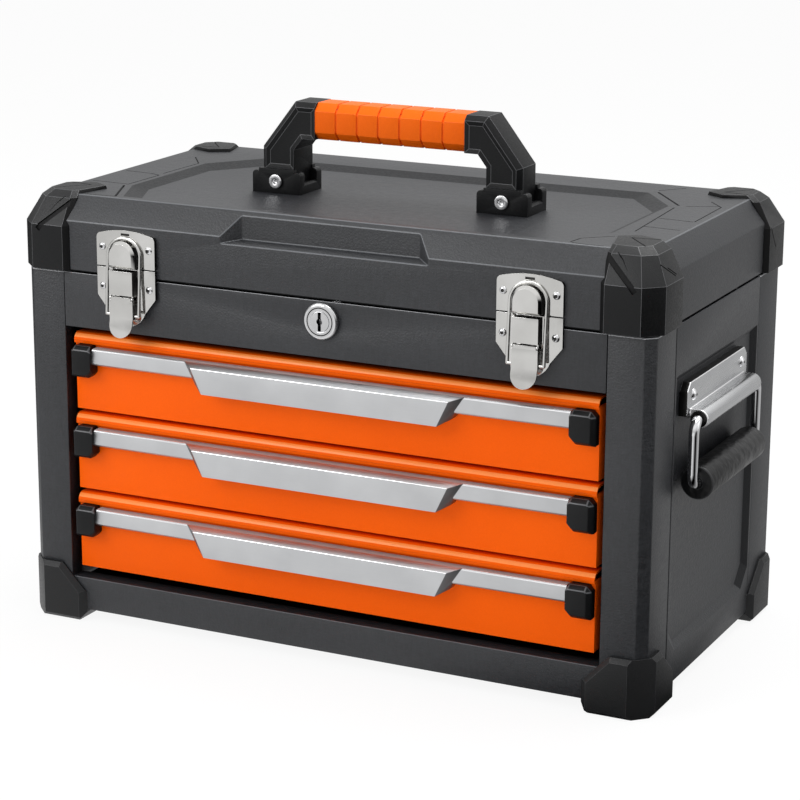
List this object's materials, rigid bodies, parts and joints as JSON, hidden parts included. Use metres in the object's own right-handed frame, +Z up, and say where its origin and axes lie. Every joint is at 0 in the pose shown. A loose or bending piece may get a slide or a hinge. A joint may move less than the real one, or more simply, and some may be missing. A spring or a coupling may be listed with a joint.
{
  "type": "portable tool box with drawers",
  "caption": "Steel tool box with a hinged lid, sliding drawers, toggle latches, a key lock, moulded corner guards, a carrying handle on top and a drop handle on each side.",
  "frame": {"origin": "centre of the overall width and depth, on the surface that the feet stand on", "axes": "+X is the right-hand side seen from the front, +Y the back, +Z up; the drawers open towards -Y"},
  "size_m": [0.552, 0.2989, 0.4012],
  "materials": {
    "body_paint": "charcoal grey powder coat with a fine texture",
    "orange_paint": "satin orange powder coat",
    "inner_steel": "plain dark grey paint",
    "corner_plastic": "black moulded plastic, fine grain",
    "satin_aluminium": "satin extruded aluminium",
    "nickel_plate": "bright nickel plating",
    "bright_metal": "bright zinc or chrome plating",
    "satin_steel": "satin plated steel",
    "black_rubber": "black moulded rubber with a shallow relief",
    "orange_grip": "orange soft grip sleeve"
  },
  "bodies": {
    "case": {"base_pan": "body_paint", "side_panel_left": "body_paint", "side_panel_right": "body_paint", "back_panel": "body_paint", "header_panel": "body_paint", "front_post_left": "body_paint", "front_post_right": "body_paint", "rear_post_left": "body_paint", "rear_post_right": "body_paint", "tray_floor": "inner_steel", "drawer_slides": "inner_steel", "foot_front_left": "corner_plastic", "foot_front_right": "corner_plastic", "foot_rear_left": "corner_plastic", "foot_rear_right": "corner_plastic", "lock_housing": "bright_metal", "lock_nut": "bright_metal", "latch_bases": "nickel_plate", "latch_pins": "bright_metal", "side_plate_left": "satin_steel", "side_plate_right": "satin_steel", "body_rivets": "bright_metal", "hinge_body_leaves": "satin_steel", "hinge_pins": "bright_metal"},
    "lid": {"lid_shell": "body_paint", "lid_corner_front_left": "corner_plastic", "lid_corner_front_right": "corner_plastic", "lid_corner_rear_left": "corner_plastic", "lid_corner_rear_right": "corner_plastic", "handle_brackets": "corner_plastic", "handle_frame": "corner_plastic", "handle_grip": "orange_grip", "handle_bolts": "bright_metal", "latch_keepers": "nickel_plate", "lid_rivets": "bright_metal", "hinge_lid_leaves": "satin_steel", "lock_strike": "inner_steel"},
    "drawer_1": {"drawer_1_tray": "inner_steel", "drawer_1_front": "orange_paint", "drawer_1_pull": "satin_aluminium", "drawer_1_caps": "corner_plastic"},
    "drawer_2": {"drawer_2_tray": "inner_steel", "drawer_2_front": "orange_paint", "drawer_2_pull": "satin_aluminium", "drawer_2_caps": "corner_plastic"},
    "drawer_3": {"drawer_3_tray": "inner_steel", "drawer_3_front": "orange_paint", "drawer_3_pull": "satin_aluminium", "drawer_3_caps": "corner_plastic"},
    "lock_core": {"lock_plug": "bright_metal", "lock_cam": "bright_metal"},
    "lever_left": {"latch_lever_left": "nickel_plate"},
    "wire_left": {"latch_wire_left": "nickel_plate"},
    "side_handle_left": {"side_bail_left": "bright_metal", "side_grip_left": "black_rubber"},
    "lever_right": {"latch_lever_right": "nickel_plate"},
    "wire_right": {"latch_wire_right": "nickel_plate"},
    "side_handle_right": {"side_bail_right": "bright_metal", "side_grip_right": "black_rubber"}
  },
  "joints": [
    {"name": "lid_hinge", "type": "hinge", "parent": "case", "child": "lid", "pos_m": [0, 0.14605, 0.2776], "axis": [-1, 0, 0], "range_deg": [0, 95]},
    {"name": "drawer_1_slide", "type": "slide", "parent": "case", "child": "drawer_1", "axis": [0, -1, 0], "range_m": [0, 0.18]},
    {"name": "drawer_2_slide", "type": "slide", "parent": "case", "child": "drawer_2", "axis": [0, -1, 0], "range_m": [0, 0.18]},
    {"name": "drawer_3_slide", "type": "slide", "parent": "case", "child": "drawer_3", "axis": [0, -1, 0], "range_m": [0, 0.18]},
    {"name": "lock_turn", "type": "hinge", "parent": "case", "child": "lock_core", "pos_m": [0, -0.13485, 0.2625], "axis": [0, -1, 0], "range_deg": [0, 90]},
    {"name": "lever_left_hinge", "type": "hinge", "parent": "case", "child": "lever_left", "pos_m": [-0.163, -0.14475, 0.264], "axis": [-1, 0, 0], "range_deg": [0, 120]},
    {"name": "wire_left_hinge", "type": "hinge", "parent": "lever_left", "child": "wire_left", "pos_m": [-0.163, -0.14335, 0.251], "axis": [-1, 0, 0], "range_deg": [-131, 0]},
    {"name": "side_handle_left_hinge", "type": "hinge", "parent": "case", "child": "side_handle_left", "pos_m": [-0.2635, -0.00585, 0.205], "axis": [0, 1, 0], "range_deg": [0, 90]},
    {"name": "lever_right_hinge", "type": "hinge", "parent": "case", "child": "lever_right", "pos_m": [0.163, -0.14475, 0.264], "axis": [-1, 0, 0], "range_deg": [0, 120]},
    {"name": "wire_right_hinge", "type": "hinge", "parent": "lever_right", "child": "wire_right", "pos_m": [0.163, -0.14335, 0.251], "axis": [-1, 0, 0], "range_deg": [-131, 0]},
    {"name": "side_handle_right_hinge", "type": "hinge", "parent": "case", "child": "side_handle_right", "pos_m": [0.2635, -0.00585, 0.205], "axis": [0, -1, 0], "range_deg": [0, 90]}
  ],
  "couplings": [
    {"joint": "wire_left_hinge", "follows": "lever_left_hinge", "ratio": -1.09},
    {"joint": "wire_right_hinge", "follows": "lever_right_hinge", "ratio": -1.09}
  ]
}
